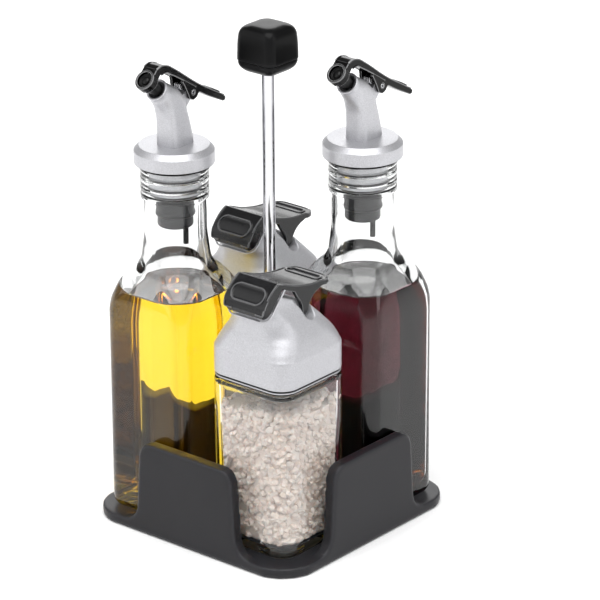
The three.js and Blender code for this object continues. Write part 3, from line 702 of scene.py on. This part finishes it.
def pourer():
    disc, under, edge, top, bevel = (POURER[k] for k in ("disc", "under", "edge", "top", "bevel"))
    plate = turned(filleted([(0, under), (disc, under), (disc, edge), (bevel, top), (0, top)], 0.22))
    spout = loft([tilted_ring(*row) for row in smooth(SPOUT, 4)])
    ear = extruded(EAR, -2.6, 2.6, "x")
    bore = along_mouth(turned([(0, -14), (MOUTH["bore"], -14), (MOUTH["bore"], -1.4), (5.2, 0.1), (5.4, 2),
                               (0, 2)], 48))
    pin = across_pin(rod(PIN["radius"] + SLACK, -8, 8), PIN["y"], PIN["z"])
    rim = MOUTH["rim"] - 0.35
    lip = along_mouth(swept([(rim * x, rim * y, -0.4) for x, y in arc(0, 0, 1, 0, 350, 35)], 0.6, 10, True))
    whole = skinned(merged(spout, ear, lip), VOXELS["spout"], 0)
    return merged(plate, skinned(combined(whole, "DIFFERENCE", bore, pin), VOXELS["spout"], 3))


def pour_lever():
    """A strap that arches from the round head over the hinge to the thumb tail, with two hinge cheeks."""
    half, cheek_in = LEVER["half"], LEVER["cheek_in"]
    top = [(-17.8, 270.6), (-14, 271.6), (-9.4, 270.6), (-5.3, 268.2)]
    back = [(13.7, 254.9), (19.3, 251.4), (25, 248.2), (36.8, 241.6)]
    tip = [(38.2, 240.4), (37.8, 238.6), (36.2, 238.2)]
    under = [(25, 243.8), (19.3, 247), (15.6, 249.4)]
    arch = [(13.4, 252.6), (5.4, 257.8), (-6.5, 265), (-10.8, 267.1), (-13.8, 266.6), (-17, 264)]
    strap = outline(top, back, tip, under, arch, [(-21.4, 266.8)])
    edges = [swept([(side * (half - 0.15), y, z) for y, z in smooth(line, 5)], 0.5, 8)
             for side in (-1, 1) for line in (top + back, arch[::-1])]
    hub = [(8.4, 246.8), (11.4, 245.4), (14.4, 246.4), (16.4, 248.6), (19.3, 247.4)]
    near = outline([(3, 257.6), (5.6, 253), (7.2, 249.8)], hub, [(19, 251), (4, 261)])
    far = outline([(2.4, 260), (2.6, 256), (4.4, 252.4), (6.8, 250)], hub, [(19, 251), (4, 261)])
    tail = atan2(back[-1][1] - back[-2][1], back[-1][0] - back[-2][0])
    oval = [(x, y, 1.0) for x, y in rounded_box(3.5, 5.8, 3.4)]
    pad = moved(merged(extruded(rounded_box(3.6, 5.9, 3.5), -0.5, 0.9, "z"), swept(oval, 0.5, 10, True)),
                Matrix.Translation((0, 30.6, 244.9)) @ Matrix.Rotation(tail, 4, "X"))
    low, high = LEVER["head_low"], LEVER["head_top"]
    radius = LEVER["head"]
    head = along_mouth(turned(filleted([(0, low), (radius, low), (radius, high), (0, high)], 0.5)))
    peg = across_pin(rod(SPRING["peg"], -cheek_in - 0.5, 2.6), SPRING["y"], SPRING["z"])
    whole = merged(extruded(strap, -half, half, "x"), extruded(near, cheek_in, half, "x"),
                   extruded(far, -half, -cheek_in, "x"), head, peg, pad, *edges)
    whole = skinned(whole, VOXELS["lever"], 0)
    whole = combined(
        whole, "DIFFERENCE",
        *(along_mouth(rod(*hole)) for hole in ((radius + 2, -4, low), (3, 5, 20), (4.6, high - 2.4, 20))),
        across_pin(rod(PIN["radius"] + SLACK, -8, 8), PIN["y"], PIN["z"]),
        across_pin(rod(4, -cheek_in, cheek_in), PIN["y"], PIN["z"]),
    )
    return skinned(whole, VOXELS["lever"], 4)


def pour_plug():
    low, high = LEVER["head_low"], LEVER["head_top"]
    rows = [(0, -1.2), (3.3, -1.2), (3.9, -0.4), (3.9, low - 0.1), (2.7, low - 0.1), (2.7, high - 2.1),
            (4.4, high - 2.1), (4.4, high - 1.5), (3.7, high - 1.3), (3.3, high - 2), (2.6, high - 2),
            (2.1, high - 1.1), (1.1, high - 0.7), (0, high - 0.6)]
    return along_mouth(turned(filleted(rows, 0.3), 64))


def hinge_spring():
    y, z, radius, turns, length = (SPRING[k] for k in ("y", "z", "radius", "turns", "length"))
    steps = turns * 24
    coil = []
    for i in range(steps + 1):
        a = tau * turns * i / steps
        coil.append(((i / steps - 0.5) * length, y + radius * cos(a), z + radius * sin(a)))
    return swept(coil, SPRING["wire"], 10)


def stopper():
    """A rubber stopper with sealing ribs, open at the bottom where the liquid runs in."""
    rows = [(0, 186), (2.6, 186), (3, 175), (9.4, 175), (10, 175.8), (10, 181), (11.2, 181.8), (11.2, 183),
            (10.7, 184), (10.7, 191.6), (13, 193.2), (15.4, 195.4), (15.4, 202.4), (14.6, 203.2), (15.4, 204),
            (15.4, 210.2), (0, 210.2)]
    return turned(filleted(rows, 0.45))


def neck_highlight_bands():
    """Three satin bands round the stopper, inside the rings of the neck: partly a pale sleeve on the stopper,
    partly a painted highlight that brightens the rings seen through the glass.
    """
    inner, outer = 14.9, 15.65
    bands = []
    for low, high in ((195.9, 198.3), (199.8, 203.5), (205, 209.9)):
        ring = [(inner, low), (outer, low), (outer, high), (inner, high), (inner, low)]
        bands.append(turned_ring(filleted(ring, 0.25)[:-1], 72))
    return merged(*bands)


def air_tube():
    radius, low, high = AIR_TUBE["radius"], AIR_TUBE["bottom"], AIR_TUBE["top"]
    ring = [(0.8, low), (radius, low), (radius, high), (0.8, high)]
    return shifted(turned_ring(ring, 32), AIR_TUBE["x"], AIR_TUBE["y"])


def bottles():
    inner = NECK["mouth"]
    washer = filleted([(inner, 210.3), (20.8, 210.3), (20.8, 212), (inner, 212), (inner, 210.3)], 0.4)[:-1]
    pin_ring = [(0.7, -PIN["half"]), (1.2, -PIN["half"]), (PIN["radius"], 0.3 - PIN["half"]),
                (PIN["radius"], PIN["half"] - 0.3), (1.2, PIN["half"]), (0.7, PIN["half"])]
    shapes = dict(
        bottle=bottle_glass(), fill=liquid_fill(BOTTLE_INSIDE, LIQUID_TOP), pourer=pourer(),
        gasket=turned_ring(washer), stopper=stopper(), air_tube=air_tube(), pour_lever=pour_lever(),
        pour_plug=pour_plug(),
        hinge_pin=across_pin(turned_ring(pin_ring, 48), PIN["y"], PIN["z"]), hinge_spring=hinge_spring(),
    )
    for name in ("oil", "vinegar"):
        at = centre_of(name + "_bottle")
        for part, shape in shapes.items():
            node = f"{name}_{part}"
            made = piece(node + "_shape", node, shape, at)
            if part == "stopper":
                # satin bands behind the neck rings, partly a painted highlight on the rings
                piece(name + "_stopper_highlight_bands", name + "_pourer", neck_highlight_bands(), at, stands_for=False)
            if part == "bottle":
                mark_wetted(made, lambda x, y, z: z < LIQUID_TOP and inside_bottle(x, y, z), at)
            if part == "fill":
                mark_wetted(made, lambda x, y, z: z < LIQUID_TOP - 0.6, at)


# ---------- jars ----------
JAR_OUTSIDE = [
    (7.2, 3, 2.8), (6.9, 14, 7), (6.2, 20, 8), (6, 23, 8.4), (6.6, 25.6, 9.4), (8.2, 27.4, 10.4),
    (11, 28.05, 10.8), (60, 28.05, 10.8), (103.4, 28.05, 10.8), (104.2, 27.9, 10.9), (104.7, 27.5, 11),
    (104.9, 26.8, 11), (104.95, 25, 11),
]
JAR_INSIDE = [
    (12, 3, 2.8), (11.6, 14, 7), (11.2, 18.5, 7.4), (12, 22.6, 8), (14.6, 24.2, 8.2), (20, 24.3, 8.2),
    (60, 24.7, 8.3), (99.6, 25.2, 8.4), (101, 25.1, 8.5), (101.9, 24.3, 9), (102.4, 23, 10.5),
    (102.6, 21.6, 12.5), (103, 19.6, 17), (104.4, 18.7, 18.7),
]


def jar_glass():
    neck, bore, top = JAR["neck"], JAR["neck_bore"], JAR["neck_top"]
    round_rows = [(106, neck), (top - 0.9, neck), (top - 0.2, neck - 0.5), (top, neck - 1.2),
                  (top, bore + 0.9), (top - 0.3, bore + 0.2), (top - 1, bore)]
    collar = [(105.05, 23, 18), (105.4, 22.2, 21.8), *((z, radius, radius) for z, radius in round_rows)]
    return square_loft([*smooth(JAR_OUTSIDE, 5), *collar, *reversed(smooth(JAR_INSIDE, 5))])


def cap_liner():
    """The black liner under the cap's edge, which rests on the jar's shoulder."""
    rows = [(105.1, 27.1, 10.4), (105.35, 27.5, 10.7), (107.95, 27.5, 10.7), (107.95, 22.9, 22.8),
            (105.1, 22.9, 22.8)]
    return loft([square_ring(half, corner, z) for z, half, corner in rows], closed=True)


def cap_lips():
    """Two thin satin beads: one round the liner and one along the cap's edge."""
    beads = ((106.45, 27.5, 10.7, 0.42), (108.35, 27.72, 10.8, 0.36))
    return merged(*(swept(square_ring(half, corner, z), bead, 10, True) for z, half, corner, bead in beads))


def crystal():
    """A small icosahedron: its points, to be creased, and its faces."""
    golden, reach = 1.618, 1.9
    signs = [(s, t) for s in (-1, 1) for t in (-1, 1)]
    points = np.array([(0, s, t * golden) for s, t in signs] + [(s, t * golden, 0) for s, t in signs]
                      + [(s * golden, 0, t) for s, t in signs]) / reach
    work = bmesh.new()
    for p in points:
        work.verts.new(p)
    work.verts.ensure_lookup_table()
    bmesh.ops.convex_hull(work, input=work.verts)
    faces = [tuple(v.index for v in face.verts) for face in work.faces]
    work.free()
    return points, faces


def scattered(rng, inside_rows, level, spacing, size, chunk, jitter):
    """Loose grains against the wall and on top of a filling, as one shape."""
    rows = [row for row in smooth(inside_rows, 8) if row[0] <= level]
    heights = np.array([row[0] for row in rows])
    halves = np.array([row[1] for row in rows])
    order = np.argsort(heights)
    heights, halves = heights[order], halves[order]
    centres = []
    wall = int(8 * halves.mean() * (level - heights[0]) / spacing ** 2)
    for _ in range(wall):
        z = rng.uniform(heights[0] + size, level)
        reach = np.interp(z, heights, halves) - size * rng.uniform(0.75, 1.3)
        centres.append((*perimeter_point(rng, reach, 8), z))
    for _ in range(int(4 * halves[-1] ** 2 * 1.3 / spacing ** 2)):
        x, y = rng.uniform(-1, 1, 2) * (halves[-1] - size * 1.1)
        if hypot(max(abs(x) - halves[-1] + 9, 0), max(abs(y) - halves[-1] + 9, 0)) > 8:
            continue
        heap = 1.9 * sin(x * 0.09 + 0.6) + 1.5 * sin(y * 0.12) + 0.6 * sin(x * 0.5 + y * 0.4)
        centres.append((x, y, level + heap + rng.uniform(-0.5, 0.4)))
    return chunks(rng, centres, size, chunk, jitter)


def perimeter_point(rng, reach, corner):
    """A random point round a square with rounded corners."""
    x, y = (reach, rng.uniform(-reach, reach)) if rng.random() < 0.5 else (rng.uniform(-reach, reach), reach)
    side = reach - corner
    if abs(x) > side and abs(y) > side:
        away = Vector((abs(x) - side, abs(y) - side)).normalized() * corner
        x, y = side + away.x, side + away.y
        x *= rng.choice((-1, 1))
    return (x, y) if rng.random() < 0.5 else (-x, -y)


def chunks(rng, centres, size, chunk, jitter):
    """A copy of a chunk at each centre, each turned, stretched and creased in its own way."""
    corners, sides = chunk
    points = []
    faces = []
    for centre in centres:
        turn = Matrix.Rotation(rng.uniform(0, tau), 3, Vector(rng.normal(size=3)))
        creased = corners * rng.uniform(1 - jitter, 1 + jitter, corners.shape)
        grown = creased * rng.uniform(0.85, 1.15, 3) * size
        first = len(points)
        points.extend((grown @ np.array(turn) + centre).tolist())
        faces.extend(tuple(first + i for i in side) for side in sides)
    return points, faces


def ball(rings=6, count=10):
    """A coarse ball: its points, to be creased, and its faces."""
    rows = [(sin(pi * i / rings), -cos(pi * i / rings)) for i in range(rings + 1)]
    points, faces = turned(rows, count)
    return np.array(points), faces


def core_of(inside_rows, level, inset):
    rows = [(z, half - inset, corner) for z, half, corner in smooth(inside_rows, 3) if z < level - 1]
    rows[0] = (rows[0][0] + 0.5, *rows[0][1:])
    return square_loft([*rows, (level - 1, rows[-1][1], rows[-1][2]), (level - 0.8, 3, 2.8)])


def cap_ring(z, half_x, front, back, corner, steps=12):
    """A rounded rectangle that reaches half_x to each side, front towards -Y and back towards +Y."""
    centres = [(half_x - corner, back - corner), (corner - half_x, back - corner),
               (corner - half_x, corner - front), (half_x - corner, corner - front)]
    return [(x + corner * cos((quarter + i / steps) * pi / 2),
             y + corner * sin((quarter + i / steps) * pi / 2), z)
            for quarter, (x, y) in enumerate(centres) for i in range(steps + 1)]


CAP_OUTSIDE = [
    (108, 28.05, 28.05, 28.05, 11), (110, 28.05, 28.05, 28.05, 11), (123.2, 28.05, 28.05, 28.05, 11),
    (124.1, 27.9, 27.9, 27.9, 11.3), (125, 27.6, 27.5, 27.6, 11.6), (127.6, 26.9, 26.5, 26.9, 12.2),
    (131.5, 25.5, 24.6, 25.3, 13), (136.5, 22.8, 23.6, 22.3, 15), (141.5, 19.6, 23.8, 18, 14),
    (146, 17, 25, 13.2, 11), (152, 14.6, 25, 8.5, 7.5), (162, 13.4, 25, 6, 5.6),
]
CAP_INSIDE = [
    (106, 26.1, 26.1, 26.1, 9.2), (122, 26.1, 26.1, 26.1, 9.2), (130, 23.2, 22.4, 23, 8),
    (137, 15, 21, 15, 6), (140, 9.8, 21, 9, 5), (150, 9.8, 21, 4, 3.9),
]
LEG_NOTCH = outline([(-5.6, 160), (-4, 152.8), (0.2, 147), (1.8, 142.2), (3.6, 140.4), (6.3, 139.8),
                     (9, 140.6), (10.6, 142.6), (13.4, 146), (18, 151), (18, 160)])


def on_face(shape):
    """Laid on the cap's sloping mouth, with +Y running up the slope."""
    return leant(shape, FACE["angle"], FACE["y"], FACE["z"])


def above_cap():
    """Everything above the line that runs back and down from the cap's sloping mouth."""
    run, rise = cos(radians(FACE["angle"])), sin(radians(FACE["angle"]))
    low = (FACE["y"] - 20 * run, FACE["z"] - 20 * rise)
    edge = [low, (FACE["y"], FACE["z"]), (9, 147.6), (40, 134), (40, 180), (-45, 180), (-45, low[1])]
    return extruded(edge, -30, 30, "x")


def jar_cap():
    outside = loft([cap_ring(*row) for row in smooth(CAP_OUTSIDE, 4)])
    inside = loft([cap_ring(*row) for row in smooth(CAP_INSIDE, 3)])
    inside = combined(inside, "DIFFERENCE", shifted(above_cap(), 0, 0.6, -2.4))
    mouth = on_face(extruded(rounded_box(8.8, 4, 2), -12, 6, "z"))
    mouth = shifted(mouth, 0, -20.4 - FACE["y"], 151.8 - FACE["z"])
    body = combined(
        outside, "DIFFERENCE", above_cap(), inside, mouth, *both_sides(LEG_NOTCH, LID["leg_in"] - 0.5, 30),
    )
    mouth_edge = [(15.3, 5), (15.3, -3), *arc(9.3, -10.6, 6, 0, -90), *arc(-9.3, -10.6, 6, -90, -180),
                  (-15.3, -3), (-15.3, 5)]
    lip = on_face(swept([(x, y, -0.3) for x, y in mouth_edge], 0.65, 10))
    return skinned(merged(skinned(body, VOXELS["cap"], 0), lip), VOXELS["cap_lip"], 3)


def lid_lever():
    """A bulging flap over the cap's mouth, a thumb plate behind it, and two hinge legs."""
    half = LID["half"]
    flap = [(-15.7, 165.4), (-20.8, 162.2), (-24.8, 158.3), (-27.6, 154.2), (-28.4, 150.4)]
    profile = outline(
        flap,
        [(-27.6, 148.2), (-25.7, 147.1)],
        [(-13.4, 160.9)],
        [(-12.2, 161), (-3.8, 157.6), (5, 155.4), (13.2, 154.2), (29.4, 153.2)],
        [(30, 154.4), (29.6, 156)],
        [(22, 156.5), (13.2, 157.1), (5, 158.5), (-3.8, 160.9), (-10, 163.3), (-15, 165.5)],
    )
    end = LID["flap_end"]
    front = [(half, 60), (-half, 60), *arc(6 - half, end + 6, 6, 180, 270),
             *arc(half - 6, end + 6, 6, 270, 360)]
    plan = [(-half, -40), (half, -40), *arc(half - 8, 23, 8, 0, 90), *arc(8 - half, 23, 8, 90, 180)]
    plate = combined(extruded(profile, -half, half, "x"), "INTERSECT",
                     on_face(extruded(front, -50, 20, "z")), extruded(plan, 140, 172, "z"))
    leg = outline(
        [(-2.5, 157), (0.4, 152.4), (2.7, 149.4), (4, 145.4), (4.1, 142.8), (6.3, 140.9), (8.5, 142.8),
         (9.4, 145.6), (12, 149.4), (16.2, 152.2), (20, 153.4)],
        [(20, 154.6), (5, 156.8)],
    )
    legs = both_sides(leg, LID["leg_in"], half)
    ridge = swept([on_flap(flap, u, v) for u, v in rounded_box(11.3, 4.8, 4.5)], 0.75, 10, closed=True)
    slot = [(u, 22.2 + v) for u, v in rounded_box(11.4, 2.6, 2.5)]
    grip = swept([(x, y, 156.65 - 0.012 * (y - 22) ** 2) for x, y in slot], 0.7, 10, closed=True)
    crown = smooth([(-12.4, 164.2), (-10, 163.3), (-3.8, 160.9), (5, 158.5), (13.2, 157.1), (22, 156.5)], 4)
    side = [(half - 0.8, y, z - 0.35) for y, z in crown]
    back = [(x, y, 155.6) for x, y in arc(half - 8, 22, 7.2, 0, 90)]
    mirrored = [(-x, y, z) for x, y, z in reversed(side + back)]
    rim = swept(side + back + mirrored, 0.85, 10)
    tip = [on_flap(flap, u, v) for u, v in arc(half - 6.4, -7.2, 5.6, 0, -90)]
    edge = [(half - 0.8, y, z) for y, z in reversed(smooth(flap, 4)) if y > -25.5]
    lip = swept(edge + tip, 0.6, 10)
    other = moved(lip, Matrix.Scale(-1, 4, (1, 0, 0)))
    return skinned(merged(plate, *legs, ridge, grip, rim, lip, other), VOXELS["lid"], 3)


def on_flap(flap, u, v):
    """A point on the flap's bulging face: u across it, and v up it from its middle."""
    points = [Vector(p) for p in smooth(flap, 8)]
    lengths = np.concatenate([[0], np.cumsum([(b - a).length for a, b in zip(points, points[1:])])])
    at = lengths[-1] * 0.52 - v
    y = float(np.interp(at, lengths, [p.x for p in points]))
    z = float(np.interp(at, lengths, [p.y for p in points]))
    return u, y, z


def jars():
    rng = np.random.default_rng(GRAIN_SEED)
    glass, cap, lid = jar_glass(), jar_cap(), lid_lever()
    level = JAR["fill_top"] - 3.5  # leaves room for the heap
    kinds = dict(
        salt=dict(spacing=2.7, size=2.2, chunk=crystal(), jitter=0.14),
        pepper=dict(spacing=4.1, size=2.3, chunk=ball(), jitter=0.07),
    )
    for name, kind in kinds.items():
        at = centre_of(name + "_jar")
        piece(name + "_jar_glass", name + "_jar", glass, at)
        grains = scattered(rng, JAR_INSIDE, level, **kind)
        sharp = 38 if name == "salt" else 80
        piece(name + "_grains", name + "_fill", grains, at, sharp=sharp)
        piece(name + "_core", name + "_fill", core_of(JAR_INSIDE, level, kind["size"]), at)
        piece(name + "_cap_liner", name + "_seal", cap_liner(), at, stands_for=False, body=name + "_lid")
        piece(name + "_cap_lips", name + "_cap", cap_lips(), at, stands_for=False)
        piece(name + "_cap_shell", name + "_cap", cap, at)
        piece(name + "_lid", name + "_lid_lever", lid, at)


# ---------- nodes whose shape stays ----------
def kept_nodes():
    for node in ("rod_washer", "rod_nut", "base_plug", "knob_insert", "salt_seal", "pepper_seal",
                 "salt_lid_pin", "pepper_lid_pin"):
        materials = frame["nodes"][node].data.materials
        materials.clear()
        materials.append(FINISHES[SLOT_OF[node]])


# ---------- studio ----------
CAMERA_AT = (1.292277, -1.508091, 0.931678)
CAMERA_BACK = (0.59709, -0.70882, 0.37557)  # from what it looks at towards it
CAMERA_LENS = 229.28
CAMERA_ROLL = radians(-0.373)
FLOOR_REACH = 6.0
LIT_MIDDLE = (0, 0, 0.13)  # what the lamps point at
BOUNCES = 24  # light crosses many faces of glass and liquid


def camera():
    data = bpy.data.cameras.new("camera")
    data.lens = CAMERA_LENS
    data.sensor_width = 36
    data.clip_end = 50
    eye = linked("camera", data)
    back = Vector(CAMERA_BACK).normalized()
    right = Vector((0, 0, 1)).cross(back).normalized()
    up = back.cross(right)
    across = right * cos(CAMERA_ROLL) + up * sin(CAMERA_ROLL)
    above = up * cos(CAMERA_ROLL) - right * sin(CAMERA_ROLL)
    matrix = Matrix((across, above, back)).transposed().to_4x4()
    matrix.translation = CAMERA_AT
    eye.matrix_world = matrix
    bpy.context.scene.camera = eye


def lamp(name, at, size, power):
    data = bpy.data.lights.new(name, "AREA")
    data.shape = "RECTANGLE"
    data.size, data.size_y = size
    data.energy = power
    light = linked(name, data)
    light.location = at
    light.rotation_euler = (Vector(at) - Vector(LIT_MIDDLE)).to_track_quat("Z", "Y").to_euler()


def sky():
    """Soft surroundings, pale at eye level and dim overhead."""
    world = bpy.data.worlds.new("studio")
    world.use_nodes = True
    nodes, links = world.node_tree.nodes, world.node_tree.links
    direction = nodes.new("ShaderNodeTexCoord")
    split = nodes.new("ShaderNodeSeparateXYZ")
    links.new(direction.outputs["Generated"], split.inputs["Vector"])
    strength = remapped(nodes, links, split.outputs["Z"], 0.55, 0.28, 0.1, 0.6)
    links.new(strength, nodes["Background"].inputs["Strength"])
    put(nodes["Background"], {"Color": (*WHITE, 1.0)})
    return world


def studio():
    corners = [(FLOOR_REACH * i, FLOOR_REACH * j, 0) for i, j in ((-1, -1), (1, -1), (1, 1), (-1, 1))]
    floor = formed("floor", (corners, [(0, 1, 2, 3)]))
    paper = {"Base Color": (0.93, 0.93, 0.93, 1.0), "Roughness": 0.9, "Specular IOR Level": 0.1}
    floor.data.materials.append(new_material("floor_paper", paper)[0])
    bpy.context.scene.world = sky()
    sun = bpy.data.lights.new("ceiling", "SUN")
    sun.energy = 3.0
    sun.angle = radians(60)
    ceiling = linked("ceiling", sun)
    ceiling.rotation_euler = Vector((0.2, -0.25, 1)).to_track_quat("Z", "Y").to_euler()
    lamp("left", (-1.1, -1.7, 1.1), size=(1.9, 1.9), power=14)
    lamp("right", (1.9, 0.5, 1.0), size=(0.7, 1.6), power=8)
    lamp("back", (-1.3, 1.55, 0.95), size=(1.6, 1.0), power=12)
    scene = bpy.context.scene
    scene.view_settings.view_transform = "Standard"
    scene.cycles.max_bounces = BOUNCES + 4
    scene.cycles.transmission_bounces = BOUNCES
    scene.cycles.transparent_max_bounces = BOUNCES


camera()
studio()
tray()
feet()
rod_and_knob()
bottles()
jars()
kept_nodes()
